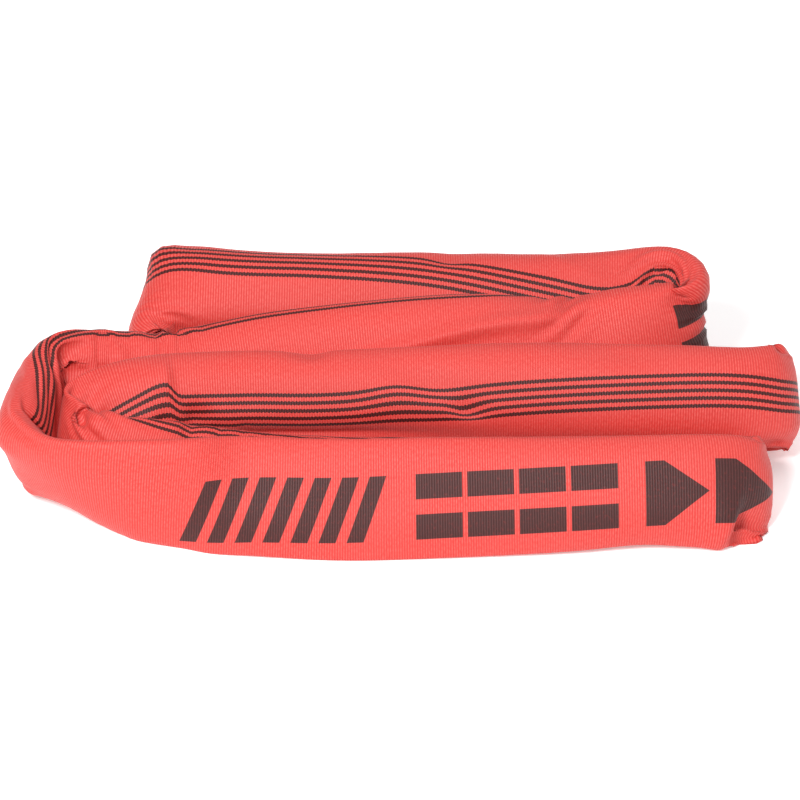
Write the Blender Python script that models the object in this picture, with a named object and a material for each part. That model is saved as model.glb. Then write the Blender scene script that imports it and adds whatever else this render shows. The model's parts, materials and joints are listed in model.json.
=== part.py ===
"""An endless polyester round sling of 5 t class, folded into a flat bundle of six parallel runs.

A woven tubular sleeve covers an endless hank of load-bearing yarn, whose yarn ends a tie binds. The
sleeve's two ends lap over each other on the rear floor run, where two rows of stitching close them.
An identification tag is sewn to the sleeve there, under a clear cover, and swings on its stitches.

Axes: X along the bundle, Y to the rear, Z up. The origin is the middle of the bounding box's bottom.
Units are metres. The route is written in millimetres from the foot of the front run, on the floor.
"""

import math

import bmesh
import bpy
import numpy as np
from mathutils import Vector

MM = 0.001

# Driving dimensions.
SLEEVE_GIRTH = 178.0 * MM  # round the sleeve, which is 89 mm wide when empty and flat
SLEEVE_WALL = 1.4 * MM
LAP_LENGTH = 50.0 * MM  # how far one sleeve end slips over the other
LAP_GAP = 0.5 * MM
JOIN_X = -24.0 * MM
SETTLE = 2.4 * MM  # the runs' own weight flattens what the route has below this height
STITCH_INSET = 12.0 * MM  # from the outer layer's end to its first row of stitches
STITCH_PITCH = 22.0 * MM
THREAD = 1.2 * MM
THREAD_GAP = 0.4 * MM
CORE_AREA = 520.0 * MM**2  # of the hank's cross-section
CORE_THICK = 18.0 * MM
CORE_SHARE = 0.65  # the most of the room inside the sleeve that the hank takes
TIE_X = -100.0 * MM
TIE_LENGTH = 16.0 * MM
TIE_WALL = 1.0 * MM
TIE_GAP = 0.9 * MM
TAG_WIDTH = 60.0 * MM
TAG_LENGTH = 70.0 * MM
TAG_THICK = 1.2 * MM
COVER_THICK = 0.8 * MM
CORNER = 4.0 * MM

# How finely the soft solids are drawn.
SLEEVE_SIDES = 14
CORE_SIDES = 10
RINGS = 110
TURN_WEIGHT = 90.0 * MM  # a turn of one radian gets as many rings as this length of straight run
SAMPLES = 4000

# Directions across a run, towards its lower edge. A run stands on that edge and leans to the rear.
FOOT = (0.0, -0.574, -0.819)
LOW_FOOT = (0.0, -0.743, -0.669)
BACK_FOOT = (0.0, -0.707, -0.707)
FLOOR_FRONT = (0.0, -0.975, -0.22)  # the rear floor run lies nearly flat

# The route: the centre's x, y and z in millimetres, the direction across the sleeve towards its lower
# edge, and the width there. The loop closes from the last station to the first.
ROUTE = (
    # Rear floor run, right to left, from the join.
    (66, 182, 20, FLOOR_FRONT, 75),
    (0, 185, 21, FLOOR_FRONT, 74),
    (-66, 188, 21, FLOOR_FRONT, 74),
    (-120, 190, 21, FLOOR_FRONT, 73),
    # Left curl, up to the rear upper run.
    (-142, 194, 23, (-0.10, -0.95, -0.25), 72),
    (-163, 203, 42, (-0.25, -0.90, -0.35), 72),
    (-167, 216, 66, (-0.33, -0.86, -0.38), 71),
    # Rear upper run, left to right.
    (-152, 221, 77, (-0.28, -0.80, -0.50), 68),
    (-120, 216, 76, BACK_FOOT, 62),
    (-60, 215, 72, BACK_FOOT, 64),
    (20, 216, 71, BACK_FOOT, 66),
    (98, 218, 68, BACK_FOOT, 66),
    (150, 220, 70, BACK_FOOT, 66),
    # Right end, forward to the third run.
    (184, 218, 75, (0.0, -0.67, -0.74), 69),
    (200, 200, 76, (0.0, -0.63, -0.78), 73),
    (191, 181, 72, (-0.10, -0.60, -0.80), 74),
    # Third run, right to left.
    (158, 171, 68, FOOT, 73),
    (112, 167, 62, FOOT, 72),
    (60, 164, 67, FOOT, 72),
    (0, 161, 65, FOOT, 72),
    (-88, 156, 54, FOOT, 73),
    (-153, 149, 44, FOOT, 74),
    # Left end, from the third run forward to the front run.
    (-205, 148, 44, (0.0, -0.50, -0.866), 74),
    (-236, 144, 49, (0.0, -0.40, -0.917), 72),
    (-251, 128, 50, (0.0, -0.25, -0.965), 71),
    (-259, 107, 48, (0.03, -0.10, -0.99), 71),
    (-262, 86, 46, (0.08, 0.0, -0.99), 72),
    (-261, 65, 44, (0.12, 0.15, -0.97), 76),
    (-240, 46, 42, (0.0, 0.35, -0.937), 80),
    # Front run, left to right.
    (-215, 32, 42, (0.0, 0.16, -0.987), 81),
    (-183, 22, 42, (0.0, -0.13, -0.99), 81),
    (-146, 21, 41, (0.0, -0.26, -0.966), 82),
    (-105, 24, 37, FOOT, 82),
    (-40, 21, 36, FOOT, 82),
    (30, 22, 36, FOOT, 82),
    (112, 25, 36, FOOT, 82),
    (185, 28, 36, FOOT, 80),
    (222, 32, 36, FOOT, 79),
    # Right end of the front run, back to the covered run.
    (244, 40, 35, (0.0, -0.50, -0.85), 76),
    (248, 52, 32, (0.0, -0.60, -0.80), 74),
    (232, 60, 29, (0.0, -0.70, -0.70), 75),
    # Covered run, right to left.
    (195, 58, 27, LOW_FOOT, 77),
    (112, 54, 25, LOW_FOOT, 78),
    (20, 53, 24, LOW_FOOT, 78),
    (-66, 52, 24, LOW_FOOT, 78),
    (-140, 54, 27, (0.0, -0.62, -0.78), 78),
    (-178, 59, 32, (0.0, -0.42, -0.91), 77),
    # Left nose, back to the second run.
    (-203, 66, 35, (0.0, -0.28, -0.96), 76),
    (-218, 75, 36, (0.0, -0.25, -0.97), 75),
    (-223, 86, 37, (0.0, -0.28, -0.96), 74),
    (-219, 97, 39, (0.0, -0.38, -0.92), 73),
    (-203, 106, 44, (0.0, -0.50, -0.87), 72),
    # Second run, left to right.
    (-178, 111, 52, FOOT, 70),
    (-109, 115, 53, FOOT, 70),
    (-60, 115, 53, FOOT, 70),
    (10, 116, 56, FOOT, 70),
    (100, 118, 58, FOOT, 70),
    (180, 117, 57, FOOT, 70),
    (235, 118, 56, FOOT, 70),
    # Right end of the second run, back and down to the rear floor run.
    (259, 123, 53, (0.12, -0.55, -0.82), 72),
    (266, 136, 44, (0.15, -0.70, -0.70), 73),
    (260, 151, 31, (0.10, -0.85, -0.53), 74),
    (238, 163, 24, (0.0, -0.95, -0.31), 75),
    (200, 172, 20, (0.0, -0.97, -0.24), 76),
    (138, 178, 19, FLOOR_FRONT, 76),
)
REAR_FLOOR_RUN = slice(0, 4)  # the stations of the run that holds the join and the tie


def clear_scene():
    for obj in list(bpy.data.objects):
        bpy.data.objects.remove(obj, do_unlink=True)


def material(name, colour, roughness, alpha=1.0):
    made = bpy.data.materials.new(name)
    made.use_nodes = True
    shader = made.node_tree.nodes["Principled BSDF"]
    shader.inputs["Base Color"].default_value = (*colour, 1.0)
    shader.inputs["Roughness"].default_value = roughness
    shader.inputs["Metallic"].default_value = 0.0
    shader.inputs["Alpha"].default_value = alpha
    return made


def smooth_loop(values, places):
    """Values on a smooth closed curve through the stations, at places counted in stations."""
    count = len(values)
    base = np.floor(places).astype(int)
    part = (places - base)[:, None]
    before, start, end, after = (values[(base + step) % count] for step in (-1, 0, 1, 2))
    return 0.5 * (
        2 * start
        + (end - before) * part
        + (2 * before - 5 * start + 4 * end - after) * part**2
        + (3 * start - before - 3 * end + after) * part**3
    )


def unit(vectors):
    return vectors / np.linalg.norm(vectors, axis=-1, keepdims=True)


class Route:
    """The sleeve's closed centre line, read by the distance along it."""

    def __init__(self):
        self.centres = np.array([station[:3] for station in ROUTE], float) * MM
        self.across = unit(np.array([station[3] for station in ROUTE], float))
        self.widths = np.array([[station[4]] for station in ROUTE], float) * MM
        self.places = np.linspace(0, len(ROUTE), SAMPLES + 1)
        points = smooth_loop(self.centres, self.places)
        steps = np.linalg.norm(np.diff(points, axis=0), axis=1)
        self.distances = np.append(0, np.cumsum(steps))
        self.length = self.distances[-1]

    def place(self, distances):
        return np.interp(np.mod(distances, self.length), self.distances, self.places)

    def frames(self, distances):
        """Centre, direction along, direction across, direction through and width at each distance."""
        step = 0.5 * MM
        ahead = smooth_loop(self.centres, self.place(distances + step))
        behind = smooth_loop(self.centres, self.place(distances - step))
        places = self.place(distances)
        along = unit(ahead - behind)
        across = smooth_loop(self.across, places)
        across = unit(across - (across * along).sum(axis=1, keepdims=True) * along)
        widths = smooth_loop(self.widths, places)[:, 0]
        return smooth_loop(self.centres, places), along, across, np.cross(along, across), widths

    def rings(self, start, length, count):
        """Distances from start over length, closer together where the sleeve turns or rolls."""
        distances = start + np.linspace(0, length, SAMPLES)
        _, along, across, _, _ = self.frames(distances)
        turning = np.linalg.norm(np.diff(along, axis=0), axis=1) + np.linalg.norm(np.diff(across, axis=0), axis=1)
        weight = np.append(0, np.cumsum(np.diff(distances) + TURN_WEIGHT * turning))
        return np.interp(np.linspace(0, weight[-1], count), weight, distances)

    def distance_at(self, x, stations):
        """Distance along the loop at which the run through these stations passes x."""
        inside = (self.places >= stations.start) & (self.places < stations.stop)
        passed = smooth_loop(self.centres, self.places[inside])[:, 0]
        return self.distances[inside][np.argmin(abs(passed - x))]


def flat_tube(width, thick, sides):
    """Points round a flattened tube: two half circles joined by flat faces of three strips each."""
    radius = thick / 2
    reach = width / 2 - radius
    turns = np.linspace(-math.pi / 2, math.pi / 2, sides // 2 - 2)
    edge = np.column_stack([reach + radius * np.cos(turns), radius * np.sin(turns)])
    face = np.array([[reach / 3, radius], [-reach / 3, radius]])
    return np.vstack([edge, face, -edge, -face])


def sleeve_ring(width, depth):
    """The sleeve's outline, at a depth below its outer surface."""
    thick = (SLEEVE_GIRTH - 2 * width) / (math.pi - 2)
    return flat_tube(width - 2 * depth, thick - 2 * depth, SLEEVE_SIDES)


def core_ring(width, depth):
    """The hank's outline: of the same area everywhere it has room, and flatter where the sleeve is."""
    room = SLEEVE_WALL + LAP_GAP
    thick = (SLEEVE_GIRTH - 2 * width) / (math.pi - 2)
    core_thick = min(CORE_THICK, (thick - 2 * room) * CORE_SHARE)
    core_width = min(CORE_AREA / core_thick, (width - 2 * room) * CORE_SHARE)
    return flat_tube(core_width - 2 * depth, core_thick - 2 * depth, CORE_SIDES)


def place_rings(route, distances, outline, depths, room=0.0):
    """One ring of points per distance, flattened where it rests on the floor, or on room above it."""
    centres, _, across, through, widths = route.frames(distances)
    rings = []
    for centre, wide, high, width, depth in zip(centres, across, through, widths, depths):
        shape = outline(width, depth)
        rings.append(centre + shape[:, :1] * wide + shape[:, 1:] * high)
    rings = np.array(rings)
    lowest = SETTLE + room + np.maximum(depths, 0)[:, None]
    rings[:, :, 2] = np.maximum(rings[:, :, 2], lowest)
    return rings


def join(mesh, first, second):
    """Faces between two rings of vertices."""
    count = len(first)
    for i in range(count):
        following = (i + 1) % count
        mesh.faces.new((first[i], first[following], second[following], second[i]))


def add_skin(mesh, points):
    """Rings of vertices joined along the route."""
    rings = [[mesh.verts.new(point) for point in ring] for ring in points]
    for first, second in zip(rings, rings[1:]):
        join(mesh, first, second)
    return rings


def new_object(name, mesh, look, smooth=True):
    bmesh.ops.recalc_face_normals(mesh, faces=mesh.faces)
    data = bpy.data.meshes.new(name)
    mesh.to_mesh(data)
    mesh.free()
    data.materials.append(look)
    if smooth:
        data.shade_smooth()
    obj = bpy.data.objects.new(name, data)
    bpy.context.scene.collection.objects.link(obj)
    return obj


def make_shell(name, route, distances, outline, depths, wall, look):
    """A hollow tube along part of the route, open at both ends."""
    mesh = bmesh.new()
    outer = add_skin(mesh, place_rings(route, distances, outline, depths))
    inner = add_skin(mesh, place_rings(route, distances, outline, depths + wall))
    join(mesh, inner[0], outer[0])
    join(mesh, outer[-1], inner[-1])
    return new_object(name, mesh, look)


def loop_distances(route, join_at):
    """Where the rings stand: four in the lap, two of them at its stitches, and the rest after it."""
    outer_row = LAP_LENGTH - STITCH_INSET
    lap = join_at + np.array([0.0, outer_row - STITCH_PITCH, outer_row, LAP_LENGTH])
    clear_of_lap = LAP_LENGTH + 8 * MM
    rest = route.rings(join_at + clear_of_lap, route.length - clear_of_lap, RINGS)
    return lap, rest[:-1]


def make_sleeve(route, join_at, look):
    """A hollow tube once round the loop. Its start slips inside its end."""
    lap, rest = loop_distances(route, join_at)
    distances = np.concatenate([lap, rest, lap + route.length])
    depths = np.zeros(len(distances))
    depths[: len(lap)] = SLEEVE_WALL + LAP_GAP
    return make_shell("sleeve", route, distances, sleeve_ring, depths, SLEEVE_WALL, look)


def make_core(route, join_at, look):
    """The endless hank of yarn, a closed ring inside the sleeve."""
    mesh = bmesh.new()
    distances = np.concatenate(loop_distances(route, join_at))
    room = 2 * SLEEVE_WALL + 2 * LAP_GAP
    rings = add_skin(mesh, place_rings(route, distances, core_ring, np.zeros(len(distances)), room))
    join(mesh, rings[-1], rings[0])
    return new_object("core_hank", mesh, look)


def make_tie(route, look):
    """The tape wound round the hank where its yarn ends are bound in."""
    middle = route.distance_at(TIE_X, REAR_FLOOR_RUN)
    distances = middle + np.array([-TIE_LENGTH / 2, TIE_LENGTH / 2])
    depths = np.full(2, -(TIE_WALL + TIE_GAP))
    return make_shell("core_tie", route, distances, core_ring, depths, TIE_WALL, look)


def make_join_stitches(route, join_at, look):
    """Two rows of thread round the outer layer of the lap."""
    for row in range(2):
        middle = join_at + LAP_LENGTH - STITCH_INSET - row * STITCH_PITCH
        distances = middle + np.array([-THREAD / 2, THREAD / 2])
        depths = np.full(2, -(THREAD + THREAD_GAP))
        make_shell(f"join_stitch_row_{row + 1}", route, distances, sleeve_ring, depths, THREAD, look)


def tag_hinge(route, join_at):
    """The point in the middle of the tag's stitches, just behind the sleeve's rear edge."""
    centres, _, across, _, widths = route.frames(np.array([join_at + LAP_LENGTH / 2]))
    thick = (SLEEVE_GIRTH - 2 * widths[0]) / (math.pi - 2)
    edge = centres[0] - across[0] * (widths[0] - thick) / 2
    clear_of_rows = 2 * THREAD_GAP + THREAD
    return Vector((edge[0], edge[1] + thick / 2 + clear_of_rows + THREAD / 2, edge[2]))


def make_sheet(name, width, start, length, bottom, thick, look):
    """A flat sheet with two rounded corners, from its sewn edge along +Y."""
    mesh = bmesh.new()
    corners = [(-width / 2, start), (width / 2, start)]
    for side in (1, -1):
        centre = (side * (width / 2 - CORNER), start + length - CORNER)
        turns = np.linspace(0, math.pi / 2, 5)[:: side]
        corners += [(centre[0] + side * CORNER * math.cos(t), centre[1] + CORNER * math.sin(t)) for t in turns]
    face = mesh.faces.new([mesh.verts.new((x, y, bottom)) for x, y in corners])
    raised = bmesh.ops.extrude_face_region(mesh, geom=[face])
    verts = [item for item in raised["geom"] if isinstance(item, bmesh.types.BMVert)]
    bmesh.ops.translate(mesh, verts=verts, vec=(0, 0, thick))
    return new_object(name, mesh, look, smooth=False)


def make_tag(hinge, cloth, film, thread):
    """The tag and its cover on a pivot, lying with their free end on the floor, and their stitches."""
    gap = THREAD / 2 + THREAD_GAP
    pivot = bpy.data.objects.new("tag_pivot", None)
    bpy.context.scene.collection.objects.link(pivot)
    pivot.location = hinge
    tag = make_sheet("tag", TAG_WIDTH, gap, TAG_LENGTH, -TAG_THICK, TAG_THICK, cloth)
    cover = make_sheet("tag_cover", TAG_WIDTH - 4 * MM, gap, TAG_LENGTH - 4 * MM, THREAD_GAP, COVER_THICK, film)
    for sheet in (tag, cover):
        sheet.parent = pivot
    drop = hinge.z - SETTLE - TAG_THICK - THREAD_GAP
    pivot.rotation_euler.x = -math.asin(drop / (TAG_LENGTH + gap))
    mesh = bmesh.new()
    bmesh.ops.create_cone(
        mesh, cap_ends=True, segments=10, radius1=THREAD / 2, radius2=THREAD / 2, depth=TAG_WIDTH - 4 * MM
    )
    stitches = new_object("tag_stitch_row", mesh, thread)
    stitches.location = hinge
    stitches.rotation_euler.y = math.pi / 2


def move_origin():
    """Moves everything so that the origin is the middle of the bounding box's bottom."""
    bpy.context.view_layer.update()
    solids = [obj for obj in bpy.data.objects if obj.type == "MESH"]
    corners = np.array([obj.matrix_world @ Vector(corner) for obj in solids for corner in obj.bound_box])
    low, high = corners.min(axis=0), corners.max(axis=0)
    middle = Vector(((low[0] + high[0]) / 2, (low[1] + high[1]) / 2, low[2]))
    for obj in bpy.data.objects:
        if obj.parent is None:
            obj.location -= middle


def main():
    clear_scene()
    route = Route()
    join_at = route.distance_at(JOIN_X, REAR_FLOOR_RUN)
    sleeve_look = material("sleeve_polyester", (0.72, 0.055, 0.045), 0.62)
    core_look = material("core_polyester", (0.80, 0.78, 0.72), 0.8)
    thread_look = material("stitching_polyester", (0.62, 0.05, 0.04), 0.6)
    tag_look = material("tag_cloth", (0.04, 0.14, 0.42), 0.55)
    film_look = material("tag_cover_film", (0.85, 0.88, 0.9), 0.15, alpha=0.35)
    make_sleeve(route, join_at, sleeve_look)
    make_core(route, join_at, core_look)
    make_tie(route, core_look)
    make_join_stitches(route, join_at, thread_look)
    make_tag(tag_hinge(route, join_at), tag_look, film_look, thread_look)
    move_origin()


main()
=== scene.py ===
import json
import math

import bpy
import numpy as np
from mathutils import Matrix, Vector


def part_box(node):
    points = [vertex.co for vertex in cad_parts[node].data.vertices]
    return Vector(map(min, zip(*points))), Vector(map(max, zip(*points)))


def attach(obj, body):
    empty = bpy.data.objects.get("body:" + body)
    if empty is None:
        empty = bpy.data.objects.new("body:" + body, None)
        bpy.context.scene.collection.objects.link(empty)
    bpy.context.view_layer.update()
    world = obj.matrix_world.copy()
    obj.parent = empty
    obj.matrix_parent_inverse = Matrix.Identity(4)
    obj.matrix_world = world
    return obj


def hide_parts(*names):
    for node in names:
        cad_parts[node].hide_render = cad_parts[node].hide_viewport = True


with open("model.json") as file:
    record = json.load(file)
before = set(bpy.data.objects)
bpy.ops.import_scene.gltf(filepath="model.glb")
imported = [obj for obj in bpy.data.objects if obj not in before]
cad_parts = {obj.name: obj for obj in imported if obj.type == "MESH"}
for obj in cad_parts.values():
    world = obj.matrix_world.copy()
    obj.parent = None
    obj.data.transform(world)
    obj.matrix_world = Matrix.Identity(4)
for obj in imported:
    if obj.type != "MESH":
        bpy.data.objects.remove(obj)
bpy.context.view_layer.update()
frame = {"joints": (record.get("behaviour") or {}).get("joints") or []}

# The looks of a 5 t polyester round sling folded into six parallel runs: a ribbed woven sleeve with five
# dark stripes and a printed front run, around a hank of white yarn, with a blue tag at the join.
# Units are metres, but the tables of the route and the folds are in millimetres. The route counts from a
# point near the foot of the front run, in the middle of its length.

MM = 0.001
TINY = 1e-9

# The sleeve, and what is in it and on it. Lengths and places are as in the CAD part, and shares are not.
GIRTH = 178.0 * MM
WALL = 1.4 * MM
LAP_LENGTH = 50.0 * MM
JOIN_X = -24.0 * MM
SLEEVE_MIDDLE_X = 2.22 * MM  # the CAD sleeve's box, seen from the route's own origin
SLEEVE_FRONT_Y = -5.14 * MM
SLEEVE_FLOOR_Z = 2.4 * MM
STITCH_INSET = 12.0 * MM
ROW_PITCH = 22.0 * MM  # between the two rows of stitches
STITCH = 4.0 * MM
THREAD = 1.2 * MM
THREAD_GAP = 0.4 * MM
THREAD_LIFT = 0.1 * MM
THREAD_THIN = 0.22  # the thread's radius between stitches, how much it swells and how far it rises
THREAD_SWELL = 0.28
THREAD_RISE = 0.3
TIE_X = -100.0 * MM
TIE_LENGTH = 16.0 * MM
TAG_WIDTH = 60.0 * MM
TAG_LENGTH = 70.0 * MM
TAG_THICK = 1.2 * MM
COVER_WIDTH = TAG_WIDTH - 4.0 * MM
COVER_LENGTH = TAG_LENGTH - 4.0 * MM
COVER_THICK = 0.8 * MM
CORNER = 4.0 * MM
TAG_STITCH_INSET = 2.0 * MM
TAG_STITCHES = 18
TAG_UP = (0.0, 0.3, 0.95)  # outward at the tag's stitches
TUCK_LENGTH = 10.0 * MM  # over which the sleeve widens again past the lap
TUCK_GAP = 0.5 * MM
HANK_SHARE = 0.58  # of the sleeve's inside that the hank takes each way
GROOVE_SHARE = 0.12  # of the hank's half thickness, for the grooves between its yarns
TIE_INSIDE = 1.02  # the tie's inner and outer skin, as shares of the hank
TIE_OUTSIDE = 1.12
TIE_RIDGE = 0.05
TIE_TURNS = 4
TIE_RINGS = 33

# The weave and the pattern on the sleeve.
RIB_PITCH = 1.75 * MM
RIB_DEPTH = 0.18 * MM
RIB_ROUGHNESS = (0.62, 0.46)  # between the ribs and on them
WEFT_PITCH = 0.9 * MM
WEFT_SHARE = 0.12  # half its height, as a share of the ribs'
YARNS_A_METRE = 400.0
CLOUDS_A_METRE = 14.0
MOST_CLOUDY = 0.25
FINE_NOISE = 900.0
INK_COVER = (0.8, 0.97)  # the least and the most of the ink on the yarn
STRIPES = 5
STRIPE_PITCH = 5.4 * MM
STRIPE_WIDTH = 2.6 * MM
STRIPE_EDGE = 0.12 * MM  # half the width of its soft edge
TOOTH_LENGTH = 1.3 * MM  # one flank of the teeth along a stripe's edges, and how ragged they are
TOOTH_SLOPE = 0.45
TOOTH_MIDDLE = 0.55 * MM
RAGGED = 0.5 * MM
STRIPES_MIDDLE = GIRTH / 4
PRINT_MIDDLE = 3 * GIRTH / 4
PRINT_HEIGHT = 45.0 * MM
PRINT_SHIFT = 8.0 * MM  # of the print's start round the cloth from there, and its slope along the cloth
PRINT_SLOPE = 0.03
PRINT_START_X = -163.0 * MM
REAR_PRINT_START_X = -47.0 * MM
REAR_PRINT_LENGTH = 300.0 * MM
MARK_EDGE = 0.2 * MM  # half the width of a mark's soft edge

# The marks of the print, as lengths along the cloth from its start.
BAR_PITCH = 19.0 * MM
BAR_SPAN = (3.5 * MM, 15.0 * MM)  # within its pitch
BARS_SPAN = (-2.0 * MM, 132.0 * MM)
BAR_SLANT = 0.35
PAIRS_START = 156.0 * MM
PAIRS_LENGTH = 142.0 * MM
PAIR_PITCH = 35.5 * MM
PAIR_SPAN = (1.0 * MM, 33.0 * MM)
PAIR_GAP = 10.0 * MM  # between the two bars of a pair
POINTERS_START = 314.0 * MM
POINTERS_LENGTH = 88.0 * MM
POINTER_PITCH = 46.0 * MM
POINTER_LENGTH = 42.0 * MM
POINTER_SLOPE = 1.3

# The colours, as sRGB values out of 255.
# The sleeve's red: a painted highlight on the ribs and painted shade in the grooves between them.
RIB_HIGHLIGHT_RED = (214, 93, 86)
GROOVE_SHADE_RED = (192, 43, 38)
CLOUDY_RED = (196, 70, 65)
STRIPE_COLOURS = ((42, 9, 7), (84, 24, 21))  # painted shade between the ribs and painted highlight on them
# The ink's colours: painted shade between the ribs and painted highlight on them.
INK_COLOURS = ((36, 17, 16), (66, 36, 35))
YARN_COLOUR = (232, 228, 216)
THREAD_COLOUR = (214, 62, 56)

# The tag's weave and its blank panels, measured from the hinge.
TAG_WEAVE_PITCH = 0.8 * MM
PANEL_WIDTH = 46.0 * MM
PANEL_HEIGHT = 14.0 * MM
PANEL_PITCH = 18.0 * MM
PANEL_MIDDLE = 26.0 * MM
PANEL_EDGE = 0.3 * MM
PANELS_START = 15.0 * MM
PANELS_END = 65.0 * MM

# How finely the pieces are drawn.
RINGS = 700
SIDES = 84
SAMPLES = 6000
INNER_STEP = 3
COARSE_RINGS = 400
COARSE_SIDES = 42
HANK_RINGS = 360
YARNS = 14
YARN_LAY = 60.0 * MM
THREAD_SIDES = 8
JOIN_STITCH_POINTS = 6 * SIDES
TAG_STITCH_POINTS = 181
SHEET_COLUMNS = 25
SHEET_ROWS = 29
TAG_BOW = 2.0 * MM
TAG_RIPPLE = 0.4 * MM
FINER_RINGS = 1.5  # how many more rings the folds that show get, as a share of the others

# The cloth simulation.
CLOTH_SEED = 5
CLOTH_STEPS = 160
CLOTH_SLACK = 0.03  # by which the threads are longer than the folded shape, and half that round it
CLOTH_UNEVEN = 2.0 * MM  # how far the cloth starts off the folded shape
UNEVEN_RINGS = 6  # the size of an uneven place, in rings and in sides
UNEVEN_SIDES = 3
CLOTH_STIFF = 0.08
CLOTH_PULL = 0.012
CLOTH_MOST = 9.0 * MM  # the furthest that it may move
ALONG_TIGHT = 0.08  # share of its excess length that a thread gives up in a step, drawn out or pushed
ALONG_SLACK = 0.8
ROUND_SHARE = 0.8
ASKEW_SHARE = 0.15

# The section, a superellipse.
FLATNESS = 2.8  # its exponent across the width
ROUNDNESS = 1.7  # its exponent through the thickness
LEAST_RATIO = 0.17  # of its thickness to its width
OUTLINE_POINTS = 360
OUTLINE_RATIOS = np.linspace(0.02, 1.2, 60)
HALF_STEP = 0.5 * MM  # for the route's direction at a place

# Towards a run's lower edge. A run stands on its edge and leans to the rear.
FOOT = (0.0, -0.574, -0.819)
LOW_FOOT = (0.0, -0.743, -0.669)
BACK_FOOT = (0.0, -0.707, -0.707)
FLOOR_FRONT = (0.0, -0.975, -0.22)

# The route from the join once round: the centre's x, y and z, the direction towards the section's first
# edge, the width that way, and how far round the section the stripes' middle lies from that edge.
ROUTE = (
    # Rear floor run, right to left, from the join.
    (66, 182, 20, FLOOR_FRONT, 75, 136),
    (0, 185, 21, FLOOR_FRONT, 74, 136),
    (-66, 188, 21, FLOOR_FRONT, 74, 136),
    (-120, 195, 21, FLOOR_FRONT, 73, 134),
    # Left curl, up to the rear upper run.
    (-149, 204, 23, (-0.10, -0.95, -0.25), 72, 128),
    (-175, 212, 42, (-0.25, -0.90, -0.35), 73, 118),
    (-174, 217, 68, (-0.34, -0.82, -0.46), 74, 112),
    # Rear upper run, left to right.
    (-158, 220, 76, (-0.36, -0.76, -0.54), 73, 109),
    (-124, 217, 73, BACK_FOOT, 66, 111),
    (-60, 215, 72, BACK_FOOT, 64, 111),
    (20, 216, 71, BACK_FOOT, 66, 117),
    (98, 218, 68, BACK_FOOT, 66, 131),
    (150, 220, 70, BACK_FOOT, 66, 144),
    # Right end, forward to the third run.
    (187, 219, 76, (0.0, -0.67, -0.74), 70, 128),
    (205, 201, 75, (-0.04, -0.63, -0.77), 74, 130),
    (198, 180, 65, (-0.12, -0.60, -0.79), 75, 134),
    # Third run, right to left.
    (158, 171, 68, FOOT, 73, 128),
    (112, 167, 62, FOOT, 72, 106),
    (60, 164, 67, FOOT, 72, 94),
    (0, 161, 65, FOOT, 72, 93),
    (-88, 156, 56, FOOT, 73, 92),
    (-153, 149, 45, FOOT, 74, 92),
    # Left end, from the third run forward to the front run.
    (-205, 148, 45, (0.0, -0.50, -0.866), 74, 94),
    (-240, 145, 53, (0.0, -0.40, -0.917), 72, 90),
    (-253, 129, 51, (0.0, -0.25, -0.965), 71, 82),
    (-256, 107, 47, (0.08, -0.10, -0.99), 71, 71),
    (-260, 86, 46, (0.20, 0.0, -0.97), 72, 58),
    (-260, 66, 45, (0.32, 0.15, -0.93), 76, 49),
    (-240, 47, 43, (0.10, 0.45, -0.89), 80, 45),
    # Front run, left to right.
    (-214, 33, 43, (0.0, 0.27, -0.96), 81, 45),
    (-182, 23, 43, (0.0, -0.02, -1.0), 81, 47),
    (-146, 21, 41, (0.0, -0.22, -0.975), 82, 47),
    (-105, 24, 37, FOOT, 82, 47),
    (-40, 21, 36, FOOT, 84, 47),
    (30, 22, 37, FOOT, 83, 47),
    (112, 24, 38, FOOT, 79, 47),
    (185, 28, 38, FOOT, 78, 47),
    (225, 32, 36, FOOT, 77, 47),
    # Right end of the front run, back to the covered run.
    (247, 40, 27, (0.0, -0.50, -0.85), 74, 47),
    (248, 52, 21, (0.0, -0.72, -0.69), 73, 48),
    (232, 58, 20, (0.0, -0.84, -0.54), 74, 50),
    # Covered run, right to left.
    (195, 56, 22, (0.0, -0.80, -0.60), 73, 52),
    (112, 54, 22, LOW_FOOT, 73, 60),
    (20, 53, 22, LOW_FOOT, 73, 70),
    (-66, 52, 23, LOW_FOOT, 75, 82),
    (-140, 54, 27, (0.0, -0.62, -0.78), 78, 86),
    (-178, 59, 32, (0.0, -0.42, -0.91), 77, 92),
    # Left nose, back to the second run.
    (-206, 66, 35, (-0.10, -0.28, -0.95), 76, 106),
    (-225, 75, 35, (-0.24, -0.25, -0.94), 75, 120),
    (-232, 86, 35, (-0.30, -0.28, -0.91), 75, 130),
    (-226, 97, 36, (-0.26, -0.38, -0.89), 74, 138),
    (-208, 106, 42, (-0.14, -0.50, -0.86), 72, 140),
    # Second run, left to right.
    (-178, 111, 52, FOOT, 70, 140),
    (-109, 115, 53, FOOT, 70, 140),
    (-60, 115, 53, FOOT, 70, 140),
    (10, 116, 56, FOOT, 70, 140),
    (100, 118, 58, FOOT, 70, 136),
    (180, 117, 57, FOOT, 70, 131),
    (235, 118, 54, FOOT, 70, 128),
    # Right end of the second run, back and down to the rear floor run.
    (263, 123, 49, (0.12, -0.55, -0.82), 72, 132),
    (269, 136, 43, (0.17, -0.70, -0.70), 73, 138),
    (260, 151, 31, (0.10, -0.85, -0.53), 74, 137),
    (238, 163, 24, (0.0, -0.95, -0.31), 75, 136),
    (200, 172, 20, (0.0, -0.97, -0.24), 76, 136),
    (138, 178, 19, FLOOR_FRONT, 76, 136),
    # The join again, and past it.
    (66, 182, 20, FLOOR_FRONT, 75, 136),
    (0, 185, 21, FLOOR_FRONT, 74, 136),
    (-66, 188, 21, FLOOR_FRONT, 74, 136),
    (-120, 190, 21, FLOOR_FRONT, 73, 134),
)
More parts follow.
